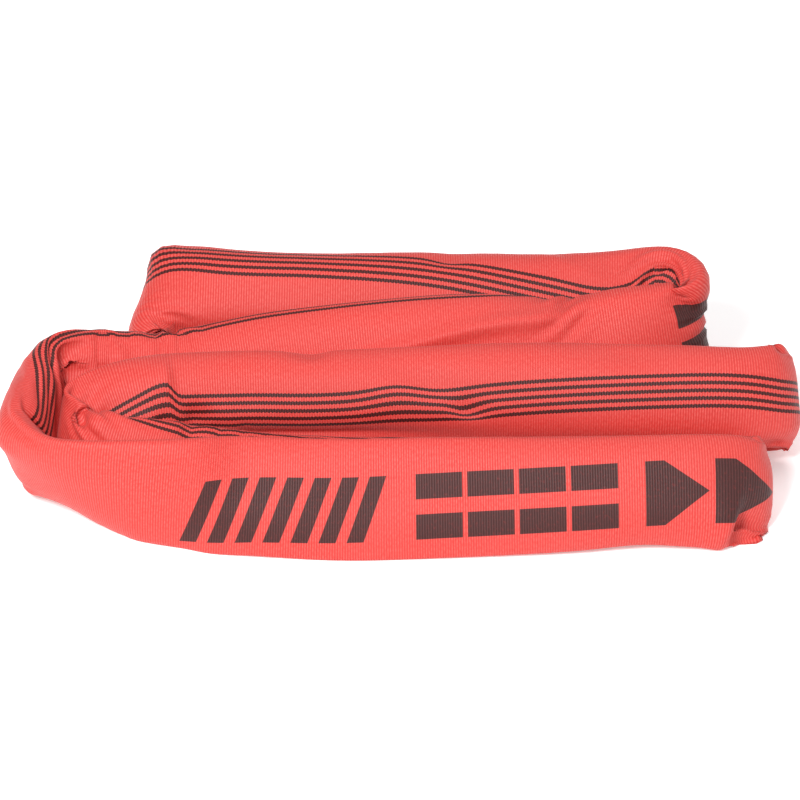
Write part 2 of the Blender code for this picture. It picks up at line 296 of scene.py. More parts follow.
# Folds pressed into the cloth. Each row gives its place along the route, in stations, and round the section
# from its first edge; how far it reaches before, after and to its sides; its slant in degrees; its height,
# which is negative where it goes in; and how far it draws the cloth round the section.
FOLDS = (
    # The pocket and the flap over it at the right end of the front run.
    (37.2, 158, 2.5, 18, 14, 12, -9, 0),
    (36.95, 160, 14, 2.5, 24, 12, 3.5, 0),
    (38.0, 174, 9, 9, 10, 0, 5, 0),
    # The front run's lower edge, lifted.
    (35.7, 176, 34, 26, 14, 0, -3, 0),
    # The rear upper run's top left corner.
    (6.75, 94, 10, 10, 13, 0, 5, 0),
    # The recess between the left end and the nose.
    (22.9, 56, 12, 12, 16, 0, -5, 0),
    # The crease along the top of the left end, and the cloth that bulges over it.
    (27.5, 92, 26, 26, 5, 0, -4, 0),
    (26.9, 112, 14, 14, 10, 0, 4, 0),
    # The ridge near the left end of the second run, where the stripes climb and fall back.
    (52.28, 126, 20, 5, 22, 0, 4, -9),
    (52.5, 146, 6, 12, 10, 0, -6, 0),
    # The hole at the left nose, and the lobe beside it.
    (47.95, 78, 5, 5, 4, 0, -6, 0),
    (47.3, 80, 9, 9, 9, 0, 3, 0),
    # The second run's lower edge, drawn in behind the front run.
    (53.7, 166, 85, 110, 14, 0, -14, 0),
    # The dip in the second run's upper edge.
    (54.0, 93, 14, 10, 9, 0, -4, 0),
    # The slack places where the stripes of the second run waver.
    (55.1, 120, 30, 30, 14, 20, -3, 2),
    (54.85, 132, 22, 22, 16, 0, 1, -4),
    (55.4, 142, 10, 14, 7, 15, -3, 4),
    (56.7, 104, 30, 26, 12, 0, -3, 0),
    # The crease that runs up the third run's face.
    (18.4, 53, 110, 110, 6, -11, 5, 0),
    # The rear upper run's slack towards its right end.
    (12.1, 118, 16, 16, 12, 30, -4, 0),
    (10.2, 100, 14, 14, 10, -20, -3, 3),
    # The second run's lower right corner, tucked in.
    (58.9, 172, 14, 14, 10, 0, -7, 0),
)
FRONT_RUN = (31, 38)
REAR_RUN = (7, 12)
JOIN_RUN = (0, 3)
CLOSE_STATIONS = ((36.5, 39), (46, 53), (58, 60.5), (23, 29))  # the front folds, with finer rings
LAST_RUN = (66, 69)


def unit(vectors):
    return vectors / np.linalg.norm(vectors, axis=-1, keepdims=True)


def smooth(values, places):
    """Values on a smooth curve through the stations, at places counted in stations."""
    last = len(values) - 1
    base = np.clip(np.floor(places).astype(int), 0, last - 1)
    part = (places - base)[:, None]
    before, start, end, after = (values[np.clip(base + step, 0, last)] for step in (-1, 0, 1, 2))
    return 0.5 * (
        2 * start
        + (end - before) * part
        + (2 * before - 5 * start + 4 * end - after) * part**2
        + (3 * start - before - 3 * end + after) * part**3
    )


class Route:
    """The sleeve's centre line, its section's direction and width, read by the distance along it."""

    def __init__(self):
        low, high = (Vector(corner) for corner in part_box("sleeve"))
        origin = np.array(
            [(low.x + high.x) / 2 - SLEEVE_MIDDLE_X, low.y - SLEEVE_FRONT_Y, low.z - SLEEVE_FLOOR_Z]
        )
        self.centres = np.array([station[:3] for station in ROUTE], float) * MM + origin
        self.edges = unit(np.array([station[3] for station in ROUTE], float))
        self.sizes = np.array([station[4:6] for station in ROUTE], float) * MM
        self.origin = origin
        self.places = np.linspace(0, len(ROUTE) - 1, SAMPLES + 1)
        steps = np.linalg.norm(np.diff(smooth(self.centres, self.places), axis=0), axis=1)
        self.distances = np.append(0, np.cumsum(steps))

    def place(self, distances):
        return np.interp(distances, self.distances, self.places)

    def frames(self, distances):
        """Centre, along, towards the first edge, through, width and the stripes' place at each distance."""
        ahead = smooth(self.centres, self.place(distances + HALF_STEP))
        behind = smooth(self.centres, self.place(distances - HALF_STEP))
        along = unit(ahead - behind)
        places = self.place(distances)
        edge = smooth(self.edges, places)
        edge = unit(edge - (edge * along).sum(axis=1, keepdims=True) * along)
        width, stripes = smooth(self.sizes, places).T
        return smooth(self.centres, places), along, edge, np.cross(along, edge), width, stripes

    def distance_at(self, x, stations):
        """Distance at which the run between two stations passes x, seen from the route's own origin."""
        inside = (self.places >= stations[0]) & (self.places <= stations[1])
        passed = smooth(self.centres, self.places[inside])[:, 0] - self.origin[0]
        return self.distances[inside][np.argmin(abs(passed - x))]


def superellipse(ratio):
    """Points round a section of half-width 1 and half-thickness ratio, from its first edge."""
    turn = np.linspace(0, 2 * math.pi, OUTLINE_POINTS + 1)
    across, through = np.cos(turn), np.sin(turn)
    across = np.sign(across) * abs(across) ** (2 / FLATNESS)
    through = np.sign(through) * abs(through) ** (2 / ROUNDNESS)
    return np.column_stack([across, ratio * through])


def outline_table():
    """For a range of thickness to width ratios: the outline, its arc lengths and its girth."""
    table = []
    for ratio in OUTLINE_RATIOS:
        points = superellipse(ratio)
        arcs = np.append(0, np.cumsum(np.linalg.norm(np.diff(points, axis=0), axis=1)))
        table.append((ratio, points, arcs))
    return table


OUTLINES = outline_table()
GIRTHS = np.array([entry[2][-1] for entry in OUTLINES])


def section(width, places):
    """Points of the section of this width at places round it, as shares of the girth."""
    ratio = max(LEAST_RATIO, np.interp(GIRTH / (width / 2), GIRTHS, OUTLINE_RATIOS))
    nearest = OUTLINES[int(np.argmin(abs(OUTLINE_RATIOS - ratio)))]
    arcs = nearest[2] / nearest[2][-1]
    points = np.column_stack([np.interp(np.mod(places, 1), arcs, nearest[1][:, k]) for k in range(2)])
    points[:, 1] *= ratio / nearest[0]
    return points * width / 2


def sweep(route, distances, girths):
    """Rings of points: one ring for each distance, one point for each place round the cloth."""
    centres, _, edges, through, widths, stripes = route.frames(distances)
    rings = []
    for centre, edge, side, width, stripe in zip(centres, edges, through, widths, stripes):
        places = (girths - STRIPES_MIDDLE + stripe) / GIRTH
        shape = section(width, places)
        rings.append(centre + shape[:, :1] * edge + shape[:, 1:] * side)
    return np.array(rings)


def tube_faces(rings, sides):
    ring, side = np.meshgrid(np.arange(rings - 1), np.arange(sides), indexing="ij")
    after = (side + 1) % sides
    here = ring * sides
    ahead = here + sides
    corners = (here + side, here + after, ahead + after, ahead + side)
    return np.stack([corner.ravel() for corner in corners], axis=1)


def mesh_object(name, points, faces, look):
    data = bpy.data.meshes.new(name)
    data.from_pydata(points.reshape(-1, 3).tolist(), [], faces.tolist())
    data.materials.append(look)
    data.shade_smooth()
    obj = bpy.data.objects.new(name, data)
    bpy.context.scene.collection.objects.link(obj)
    return obj


def corner_points(obj):
    """The number of the point at each corner of each face."""
    points = np.empty(len(obj.data.loops), np.int32)
    obj.data.loops.foreach_get("vertex_index", points)
    return points


def add_cloth_map(obj, places):
    """The UV map that the looks read, in metres, from one place for each corner of each face."""
    layer = obj.data.uv_layers.new(name="cloth")
    layer.data.foreach_set("uv", places.ravel())


def unwrapped(round_it):
    """Places round the sleeve, four for each face, without the jump where a face crosses the start."""
    faces = round_it.reshape(-1, 4)
    wraps = (faces.max(axis=1) - faces.min(axis=1)) > GIRTH / 2
    faces[wraps] = np.where(faces[wraps] < GIRTH / 2, faces[wraps] + GIRTH, faces[wraps])
    return faces.ravel()


def surface_normals(points):
    """Outward normals of a tube's rings."""
    along = np.gradient(points, axis=0)
    round_it = np.roll(points, -1, axis=1) - np.roll(points, 1, axis=1)
    return unit(np.cross(round_it, along))


def finer(points, shares, sides):
    """The same tube with rings at these shares of its length and more sides, on smooth curves."""
    rings = len(shares)
    flat = smooth(points.reshape(len(points), -1), shares * (len(points) - 1)).reshape(rings, -1, 3)
    around = np.swapaxes(flat, 0, 1)
    count = len(around)
    closed = np.concatenate([around[-2:], around, around[:3]])
    spots = 2 + np.arange(sides) * count / sides
    return np.swapaxes(smooth(closed.reshape(len(closed), -1), spots).reshape(sides, rings, 3), 0, 1)


def stretch(first, second, rest, tight, slack):
    """How far a thread moves each of its ends, by the tight share if drawn out and the slack if pushed."""
    gap = second - first
    length = np.linalg.norm(gap, axis=-1, keepdims=True)
    excess = length - rest
    return 0.5 * np.where(excess > 0, tight, slack) * excess / length * gap


def draw_along(cloth, rest):
    for start in (0, 1):
        first, second = cloth[start:-1:2], cloth[start + 1 :: 2]
        move = stretch(first, second, rest, ALONG_TIGHT, ALONG_SLACK)
        first += move
        second -= move


def draw_round(cloth, rest):
    for start in (0, 1):
        turned = np.roll(cloth, -start, axis=1)
        move = stretch(turned[:, 0::2], turned[:, 1::2], rest, ROUND_SHARE, ROUND_SHARE)
        turned[:, 0::2] += move
        turned[:, 1::2] -= move
        cloth[:] = np.roll(turned, start, axis=1)


def draw_askew(cloth, rest):
    for start in (0, 1):
        for lean in (1, -1):
            first, second = cloth[start:-1:2], cloth[start + 1 :: 2]
            second_turned = np.roll(second, -lean, axis=1)
            move = stretch(first, second_turned, rest, ASKEW_SHARE, ASKEW_SHARE)
            first += move
            second -= np.roll(move, lean, axis=1)


def even_out(shift, share):
    """Spreads the shifts over their neighbours, as the cloth's stiffness does."""
    mean = (np.roll(shift, 1, axis=1) + np.roll(shift, -1, axis=1)) / 4
    mean[1:-1] += (shift[2:] + shift[:-2]) / 4
    mean[0] += shift[0] / 2
    mean[-1] += shift[-1] / 2
    return shift + share * (mean - shift)


def settle_cloth(folded, length):
    """A cloth simulation of the coarse tube, in which the sleeve finds its own wrinkles round the folds.

    Each thread keeps the length that it was woven with, and a soft pull keeps it near the folded shape.
    The runs don't feel each other, only the floor.
    """
    rings, sides = folded.shape[:2]
    along = length / (rings - 1) * (1 + CLOTH_SLACK)
    round_it = GIRTH / sides * (1 + CLOTH_SLACK / 2)
    patches = (rings // UNEVEN_RINGS, sides // UNEVEN_SIDES, 1)
    uneven = np.random.default_rng(CLOTH_SEED).normal(size=patches) * CLOTH_UNEVEN
    uneven = finer(np.repeat(uneven, 3, axis=2), np.linspace(0, 1, rings), sides)[:, :, :1]
    cloth = folded + uneven * surface_normals(folded)
    for _ in range(CLOTH_STEPS):
        draw_along(cloth, along)
        draw_round(cloth, round_it)
        draw_askew(cloth, math.hypot(along, round_it))
        shift = even_out(cloth - folded, CLOTH_STIFF) * (1 - CLOTH_PULL)
        size = np.linalg.norm(shift, axis=-1, keepdims=True)
        cloth = folded + shift * np.minimum(1, CLOTH_MOST / np.maximum(size, TINY))
        cloth[:, :, 2] = np.maximum(cloth[:, :, 2], 0)
    return cloth


def press_folds(route, points, distances, girths):
    """Presses the folds of the table into the cloth."""
    outward = surface_normals(points)
    round_it = unit(np.roll(points, -1, axis=1) - np.roll(points, 1, axis=1))
    stripes = route.frames(distances)[5]
    places = girths - STRIPES_MIDDLE + stripes[:, None]
    for station, place, before, after, side, slant, height, draw in FOLDS:
        along = (distances - np.interp(station, route.places, route.distances))[:, None] / MM
        across = np.mod((places / MM - place) + GIRTH / MM / 2, GIRTH / MM) - GIRTH / MM / 2
        turn = math.radians(slant)
        forward = along * math.cos(turn) + across * math.sin(turn)
        sideways = across * math.cos(turn) - along * math.sin(turn)
        reach = np.where(forward < 0, before, after)
        share = np.exp(-((forward / reach) ** 2) - (sideways / side) ** 2)[:, :, None]
        points = points + share * (height * outward + draw * round_it) * MM
    return points


def ring_distances(route, start, end):
    """Where the rings stand: closer together at the folds that show."""
    distances = np.linspace(start, end, SAMPLES)
    places = route.place(distances)
    closeness = np.ones(SAMPLES)
    for first, last in CLOSE_STATIONS:
        closeness += FINER_RINGS * ((places > first) & (places < last))
    count = np.append(0, np.cumsum((closeness[1:] + closeness[:-1]) / 2))
    return np.interp(np.linspace(0, count[-1], RINGS), count, distances)


def tube_between(outer, inner):
    """Faces of a tube with a wall: an outer and an inner skin of rings, and the rims at its two ends."""
    sides = outer.shape[1]
    inner_start = outer.shape[0] * sides
    faces = [tube_faces(len(outer), sides), tube_faces(len(inner), sides)[:, ::-1] + inner_start]
    here = np.arange(sides)
    after = (here + 1) % sides
    last_outer = inner_start - sides
    last_inner = inner_start + (len(inner) - 1) * sides
    first_rim = (inner_start + here, inner_start + after, after, here)
    last_rim = (last_outer + here, last_outer + after, last_inner + after, last_inner + here)
    faces += [np.stack(first_rim, axis=1), np.stack(last_rim, axis=1)]
    return np.vstack([outer.reshape(-1, 3), inner.reshape(-1, 3)]), np.vstack(faces)


class Sleeve:
    """The sleeve's surface: rings of points, with the distance of each ring."""

    def __init__(self, route):
        self.start = route.distance_at(JOIN_X, JOIN_RUN)
        self.loop = route.distance_at(JOIN_X, LAST_RUN) - self.start
        self.end = self.start + self.loop + LAP_LENGTH
        length = self.end - self.start
        coarse = np.linspace(self.start, self.end, COARSE_RINGS)
        points = sweep(route, coarse, np.arange(COARSE_SIDES) * GIRTH / COARSE_SIDES)
        points = settle_cloth(points, length)
        self.distances = ring_distances(route, self.start, self.end)
        self.girths = np.arange(SIDES) * GIRTH / SIDES
        points = finer(points, (self.distances - self.start) / length, SIDES)
        points = press_folds(route, points, self.distances, self.girths)
        points[:, :, 2] = np.maximum(points[:, :, 2], 0)
        # The start slips inside the end.
        tucked = np.clip((self.start + LAP_LENGTH + TUCK_LENGTH - self.distances) / TUCK_LENGTH, 0, 1)
        self.points = points - surface_normals(points) * (tucked * (WALL + TUCK_GAP))[:, None, None]

    def rings_at(self, distances):
        """Rings of the surface at other distances along the cloth."""
        flat = self.points.reshape(len(self.points), -1)
        found = np.array([np.interp(distances, self.distances, column) for column in flat.T]).T
        return found.reshape(len(distances), SIDES, 3)


def make_sleeve(sleeve, look):
    inner = (sleeve.points - surface_normals(sleeve.points) * WALL)[::INNER_STEP]
    inner[:, :, 2] = np.maximum(inner[:, :, 2], 0)
    points, faces = tube_between(sleeve.points, inner)
    obj = mesh_object("woven_sleeve", points, faces, look)
    inner_distances = sleeve.distances[::INNER_STEP]
    along = np.repeat(np.concatenate([sleeve.distances, inner_distances]), SIDES)
    round_it = np.tile(sleeve.girths, RINGS + len(inner))
    corners = corner_points(obj)
    add_cloth_map(obj, np.column_stack([along[corners], unwrapped(round_it[corners])]))
    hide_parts("sleeve")
    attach(obj, "sling")


def hank_rings(sleeve, distances):
    """The hank's outline: the sleeve's, drawn in towards the middle, with a groove between its yarns."""
    rings = sleeve.rings_at(distances)
    middles = rings.mean(axis=1, keepdims=True)
    turns = np.arange(SIDES) * YARNS * math.pi / SIDES + (distances[:, None] / YARN_LAY) * math.pi
    grooves = 1 - GROOVE_SHARE * (1 - abs(np.sin(turns)))[:, :, None]
    return middles + (rings - middles) * HANK_SHARE * grooves


def make_hank(sleeve, look):
    """The endless hank of load-bearing yarn, a closed ring inside the sleeve."""
    distances = np.linspace(sleeve.start, sleeve.start + sleeve.loop, HANK_RINGS + 1)[:-1]
    points = hank_rings(sleeve, distances)
    faces = tube_faces(HANK_RINGS + 1, SIDES) % (HANK_RINGS * SIDES)
    obj = mesh_object("core_yarn_hank", points, faces, look)
    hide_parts("core_hank")
    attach(obj, "sling")


def make_tie(route, sleeve, look):
    """The tape wound round the hank where its yarn ends are bound in."""
    middle = route.distance_at(TIE_X, JOIN_RUN)
    rings = sleeve.rings_at(middle + np.linspace(-TIE_LENGTH / 2, TIE_LENGTH / 2, TIE_RINGS))
    middles = rings.mean(axis=1, keepdims=True)
    turns = np.linspace(0, TIE_TURNS * math.pi, TIE_RINGS)
    ridges = 1 + TIE_RIDGE * abs(np.sin(turns))[:, None, None]
    inner = middles + (rings - middles) * HANK_SHARE * TIE_INSIDE
    outer = middles + (rings - middles) * HANK_SHARE * TIE_OUTSIDE * ridges
    obj = mesh_object("core_tape_tie", *tube_between(outer, inner), look)
    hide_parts("core_tie")
    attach(obj, "sling")


def thread_tube(name, path, outward, stitches, closed, look):
    """A row of stitches: a thread along a path, which swells in each stitch and sinks between them."""
    if closed:
        ahead = np.roll(path, -1, axis=0) - np.roll(path, 1, axis=0)
    else:
        ahead = np.gradient(path, axis=0)
    along = unit(ahead)
    sideways = unit(np.cross(along, outward))
    up = np.cross(sideways, along)
    swell = abs(np.sin(np.linspace(0, stitches * math.pi, len(path), endpoint=not closed)))[:, None]
    radius = THREAD * (THREAD_THIN + THREAD_SWELL * swell)
    centres = path + up * THREAD * THREAD_RISE * swell
    turns = np.arange(THREAD_SIDES) * 2 * math.pi / THREAD_SIDES
    spokes = [np.cos(turn) * up + np.sin(turn) * sideways for turn in turns]
    rings = np.stack([centres + radius * spoke for spoke in spokes], axis=1)
    rings[:, :, 2] = np.maximum(rings[:, :, 2], 0)
    faces = tube_faces(len(path) + closed, THREAD_SIDES) % (len(path) * THREAD_SIDES)
    obj = mesh_object(name, rings, faces, look)
    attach(obj, "sling")
    return obj


def round_ring(values):
    """The values at the sides of one ring, read at more places round it."""
    spots = np.linspace(0, SIDES, JOIN_STITCH_POINTS, endpoint=False)
    sides = np.arange(SIDES)
    return np.array([np.interp(spots, sides, column, period=SIDES) for column in values.T]).T


def make_join_stitches(sleeve, look):
    """Two rows of stitches round the outer layer of the lap."""
    for row in range(2):
        distance = sleeve.end - STITCH_INSET - row * ROW_PITCH
        near = sleeve.rings_at(distance + np.array([-1, 0, 1]) * MM)
        outward = round_ring(surface_normals(near)[1])
        path = round_ring(near[1]) + THREAD_LIFT * outward
        stitches = round(GIRTH / STITCH)
        obj = thread_tube(f"join_stitches_{row + 1}", path, unit(outward), stitches, True, look)
        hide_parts(f"join_stitch_row_{row + 1}")


def make_tag_stitches(hinge, look):
    """The row of stitches along the tag's hinge."""
    reach = TAG_WIDTH / 2 - TAG_STITCH_INSET
    path = np.array([hinge] * TAG_STITCH_POINTS)
    path[:, 0] += np.linspace(-reach, reach, TAG_STITCH_POINTS)
    outward = np.tile(TAG_UP, (TAG_STITCH_POINTS, 1))
    obj = thread_tube("tag_stitches", path, outward, TAG_STITCHES, False, look)
    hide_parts("tag_stitch_row")


def sheet_grid(width, start, length):
    """Points of a flat sheet with two rounded corners, in rows from its sewn edge."""
    across = np.linspace(-width / 2, width / 2, SHEET_COLUMNS)
    away = np.linspace(start, start + length, SHEET_ROWS)
    x, y = np.meshgrid(across, away)
    from_side = x - np.clip(x, -width / 2 + CORNER, width / 2 - CORNER)
    from_end = y - np.minimum(y, start + length - CORNER)
    distance = np.hypot(from_side, from_end)
    shrink = np.where((from_end > 0) & (distance > CORNER), CORNER / np.maximum(distance, TINY), 1.0)
    x = x - from_side * (1 - shrink)
    y = y - from_end * (1 - shrink)
    return np.stack([x, y], axis=-1)


def sheet_faces():
    """Faces of a thin sheet: its underside, its top and the rim between them."""
    count = SHEET_ROWS * SHEET_COLUMNS
    across = np.arange(SHEET_COLUMNS - 1)
    away = np.arange(SHEET_ROWS - 1)
    row, column = np.meshgrid(away, across, indexing="ij")
    corner = (row * SHEET_COLUMNS + column).ravel()
    under = np.stack([corner, corner + SHEET_COLUMNS, corner + SHEET_COLUMNS + 1, corner + 1], axis=1)
    right_side = (away + 1) * SHEET_COLUMNS - 1
    left_side = (SHEET_ROWS - 1 - away) * SHEET_COLUMNS
    edge = np.concatenate([across, right_side, count - 1 - across, left_side])
    after = np.roll(edge, -1)
    rim = np.stack([edge, after, after + count, edge + count], axis=1)
    return np.vstack([under, under[:, ::-1] + count, rim])


def hang_from(hinge, obj):
    """Turns a sheet down about the hinge until the tag's free end reaches the floor."""
    drop = hinge[2] - TAG_THICK - THREAD_GAP
    reach = TAG_LENGTH + THREAD / 2 + THREAD_GAP
    turn = Matrix.Rotation(-math.asin(drop / reach), 4, "X")
    obj.data.transform(Matrix.Translation(hinge) @ turn)


def make_sheet(name, hinge, grid, bottom, thick, look):
    """A thin sheet that bows a little between its sewn edge and its free end, on the tag's hinge."""
    share = (grid[:, :, 1] - grid[0, 0, 1]) / TAG_LENGTH
    ripple = TAG_RIPPLE * np.sin(3 * math.pi * share) * grid[:, :, 0] / TAG_WIDTH
    bow = TAG_BOW * np.sin(math.pi * share) + ripple
    layers = [np.dstack([grid, bow + height]) for height in (bottom, bottom + thick)]
    obj = mesh_object(name, np.array(layers), sheet_faces(), look)
    flat = np.tile(grid.reshape(-1, 2), (2, 1))
    add_cloth_map(obj, flat[corner_points(obj)])
    hang_from(hinge, obj)
    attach(obj, "label")
    return obj


def make_tag(hinge, cloth, film):
    """The tag and the clear cover over it."""
    gap = THREAD / 2 + THREAD_GAP
    tag_grid = sheet_grid(TAG_WIDTH, gap, TAG_LENGTH)
    tag = make_sheet("identity_tag", hinge, tag_grid, -TAG_THICK, TAG_THICK, cloth)
    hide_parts("tag")
    cover_grid = sheet_grid(COVER_WIDTH, gap, COVER_LENGTH)
    cover = make_sheet("clear_cover", hinge, cover_grid, THREAD_GAP, COVER_THICK, film)
    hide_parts("tag_cover")


class Graph:
    """Shader nodes, made and joined in one call each."""

    def __init__(self, name):
        self.material = bpy.data.materials.new(name)
        self.material.use_nodes = True
        self.nodes = self.material.node_tree.nodes
        self.links = self.material.node_tree.links
        self.shader = self.nodes["Principled BSDF"]

    def put(self, value, socket):
        if isinstance(value, bpy.types.NodeSocket):
            self.links.new(value, socket)
        else:
            socket.default_value = value

    def node(self, kind, **settings):
        made = self.nodes.new(kind)
        for name, value in settings.items():
            setattr(made, name, value)
        return made

    def math(self, operation, *values):
        made = self.node("ShaderNodeMath", operation=operation)
        for value, socket in zip(values, made.inputs):
            self.put(value, socket)
        return made.outputs[0]

    def ramp(self, value, low, high, start=0.0, end=1.0):
        made = self.node("ShaderNodeMapRange", interpolation_type="SMOOTHSTEP")
        for item, socket in zip((value, low, high, start, end), made.inputs):
            self.put(item, socket)
        return made.outputs[0]

    def between(self, value, low, high, edge):
        above = self.ramp(value, low - edge, low + edge)
        below = self.ramp(value, high + edge, high - edge)
        return self.math("MULTIPLY", above, below)

    def mix(self, share, first, second):
        made = self.node("ShaderNodeMix", data_type="RGBA")
        self.put(share, made.inputs[0])
        self.put(first, made.inputs[6])
        self.put(second, made.inputs[7])
        return made.outputs[2]

    def noise(self, scale, detail, where=None):
        made = self.node("ShaderNodeTexNoise")
        made.inputs["Scale"].default_value = scale
        made.inputs["Detail"].default_value = detail
        if where is not None:
            self.put(where, made.inputs["Vector"])
        return made.outputs["Fac"]

    def join(self, x, y, z=0.0):
        made = self.node("ShaderNodeCombineXYZ")
        for value, socket in zip((x, y, z), made.inputs):
            self.put(value, socket)
        return made.outputs[0]

    def cloth_places(self):
        parts = self.node("ShaderNodeSeparateXYZ")
        self.put(self.node("ShaderNodeUVMap", uv_map="cloth").outputs[0], parts.inputs[0])
        return parts.outputs[0], parts.outputs[1]

    def wave(self, value, pitch):
        return self.math("COSINE", self.math("MULTIPLY", value, 2 * math.pi / pitch))

    def settle(self, colour, roughness, height, depth):
        self.put(colour, self.shader.inputs["Base Color"])
        self.put(roughness, self.shader.inputs["Roughness"])
        bump = self.node("ShaderNodeBump")
        bump.inputs["Distance"].default_value = depth
        bump.inputs["Strength"].default_value = 1.0
        self.put(height, bump.inputs["Height"])
        self.put(bump.outputs[0], self.shader.inputs["Normal"])


def linear(colour):
    """A linear colour from its sRGB values out of 255."""
    return tuple(((value / 255 + 0.055) / 1.055) ** 2.4 for value in colour) + (1.0,)


def sleeve_look(route):
    """Ribbed red cloth, with a painted highlight on its ribs and painted shade between them, with the
    stripes and the print.
    """
    g = Graph("ribbed_polyester")
    u, v = g.cloth_places()
    rib = g.math("MULTIPLY_ADD", g.wave(u, RIB_PITCH), 0.5, 0.5)
    ribs_along = g.math("MULTIPLY", u, 1 / RIB_PITCH)
    yarn = g.noise(1.0, 2.0, g.join(ribs_along, g.math("MULTIPLY", v, YARNS_A_METRE)))
    cloudy = g.noise(CLOUDS_A_METRE, 3.0, g.join(u, v))
    # Painted highlight on the ribs and painted shade in the grooves, times the yarns' random tone.
    rib_shade_and_yarn_tone = g.math("MULTIPLY", rib, g.ramp(yarn, 0.3, 0.7, 0.4, 1.0))
    red = g.mix(rib_shade_and_yarn_tone, linear(GROOVE_SHADE_RED), linear(RIB_HIGHLIGHT_RED))
    red = g.mix(g.ramp(cloudy, 0.3, 0.7, 0.0, MOST_CLOUDY), red, linear(CLOUDY_RED))
    # The stripes and the ink are painted darker between the ribs and lighter on them, as shade and
    # highlight.
    brown, ink = (g.mix(rib, *map(linear, colours)) for colours in (STRIPE_COLOURS, INK_COLOURS))
    colour = g.mix(stripe_mask(g, u, v), red, brown)
    cover = g.ramp(yarn, 0.1, 0.5, *INK_COVER)
    colour = g.mix(g.math("MULTIPLY", print_mask(g, u, v, route), cover), colour, ink)
    height = g.math("MULTIPLY_ADD", g.wave(v, WEFT_PITCH), WEFT_SHARE, rib)
    g.settle(colour, g.ramp(rib, 0.0, 1.0, *RIB_ROUGHNESS), height, RIB_DEPTH)
    g.shader.inputs["Sheen Weight"].default_value = 0.05
    g.shader.inputs["Sheen Roughness"].default_value = 0.4
    g.shader.inputs["Specular IOR Level"].default_value = 0.3
    return g.material


def stripe_mask(g, u, v):
    """Five stripes along the cloth with toothed edges."""
    tooth = g.math("MULTIPLY", g.math("PINGPONG", u, TOOTH_LENGTH), TOOTH_SLOPE)
    ragged = g.math("MULTIPLY_ADD", g.noise(FINE_NOISE, 1.0, g.join(u, v)), RAGGED, tooth)
    off = g.math("SUBTRACT", v, STRIPES_MIDDLE)
    off = g.math("ADD", off, g.math("SUBTRACT", ragged, TOOTH_MIDDLE))
    from_stripe = g.math("ABSOLUTE", g.math("WRAP", off, STRIPE_PITCH / 2, -STRIPE_PITCH / 2))
    half = STRIPE_WIDTH / 2
    on_stripe = g.ramp(from_stripe, half + STRIPE_EDGE, half - STRIPE_EDGE)
    in_group = g.math("LESS_THAN", g.math("ABSOLUTE", off), STRIPES / 2 * STRIPE_PITCH)
    return g.math("MULTIPLY", on_stripe, in_group)


def print_mask(g, u, v, route):
    """Generic marks printed along the cloth, twice: on the front run and from the rear run to the third."""
    front = route.distance_at(PRINT_START_X, FRONT_RUN)
    rear = route.distance_at(REAR_PRINT_START_X, REAR_RUN)
    in_rear = g.math("LESS_THAN", u, rear + REAR_PRINT_LENGTH)
    rear_marks = g.math("MULTIPLY", marks_from(g, u, v, rear), in_rear)
    return g.math("MAXIMUM", marks_from(g, u, v, front), rear_marks)


def marks_from(g, u, v, start):
    """One row of marks: slanted bars, paired bars and pointers."""
    x = g.math("SUBTRACT", u, start)
    rise = g.math("MULTIPLY_ADD", x, PRINT_SLOPE, g.math("SUBTRACT", v, PRINT_MIDDLE + PRINT_SHIFT))
    y = g.math("MULTIPLY", rise, -1.0)
    off = g.math("ABSOLUTE", y)
    tall = g.ramp(off, PRINT_HEIGHT / 2 + MARK_EDGE, PRINT_HEIGHT / 2 - MARK_EDGE)
    marks = g.math("MAXIMUM", slanted_bars(g, x, y), paired_bars(g, x, off))
    marks = g.math("MAXIMUM", marks, pointers(g, x, off))
    return g.math("MULTIPLY", marks, tall)


def slanted_bars(g, x, y):
    slanted = g.math("MULTIPLY_ADD", y, -BAR_SLANT, x)
    bars = g.between(g.math("WRAP", slanted, BAR_PITCH, 0.0), *BAR_SPAN, MARK_EDGE)
    return g.math("MULTIPLY", bars, g.between(slanted, *BARS_SPAN, MARK_EDGE))


def paired_bars(g, x, off):
    along = g.math("SUBTRACT", x, PAIRS_START)
    pairs = g.between(g.math("WRAP", along, PAIR_PITCH, 0.0), *PAIR_SPAN, MARK_EDGE)
    pairs = g.math("MULTIPLY", pairs, g.between(along, 0.0, PAIRS_LENGTH, MARK_EDGE))
    return g.math("MULTIPLY", pairs, g.ramp(off, PAIR_GAP / 2, PAIR_GAP / 2 + 2 * MARK_EDGE))


def pointers(g, x, off):
    along = g.math("SUBTRACT", x, POINTERS_START)
    beside = g.math("MULTIPLY_ADD", off, POINTER_SLOPE, g.math("WRAP", along, POINTER_PITCH, 0.0))
    pointer = g.ramp(beside, POINTER_LENGTH + 2 * MARK_EDGE, POINTER_LENGTH)
    return g.math("MULTIPLY", pointer, g.between(along, 0.0, POINTERS_LENGTH, MARK_EDGE))


def plain_look(name, colour, roughness):
    """One colour with a fine grain."""
    g = Graph(name)
    grain = g.noise(FINE_NOISE, 2.0)
    darker = tuple(0.8 * value for value in colour[:3]) + (1.0,)
    g.settle(g.mix(grain, darker, colour), roughness, grain, 0.1 * MM)
    return g.material


def glowing_floor_look():
    g = Graph("pale_glowing_floor")
    g.shader.inputs["Base Color"].default_value = (0.95, 0.95, 0.95, 1.0)
    # The floor glows faintly: painted light that lifts the shadows on it and lights the cloth from below.
    g.shader.inputs["Emission Color"].default_value = (1.0, 1.0, 1.0, 1.0)
    g.shader.inputs["Emission Strength"].default_value = 0.3
    g.shader.inputs["Roughness"].default_value = 0.9
    g.shader.inputs["Specular IOR Level"].default_value = 0.1
    return g.material


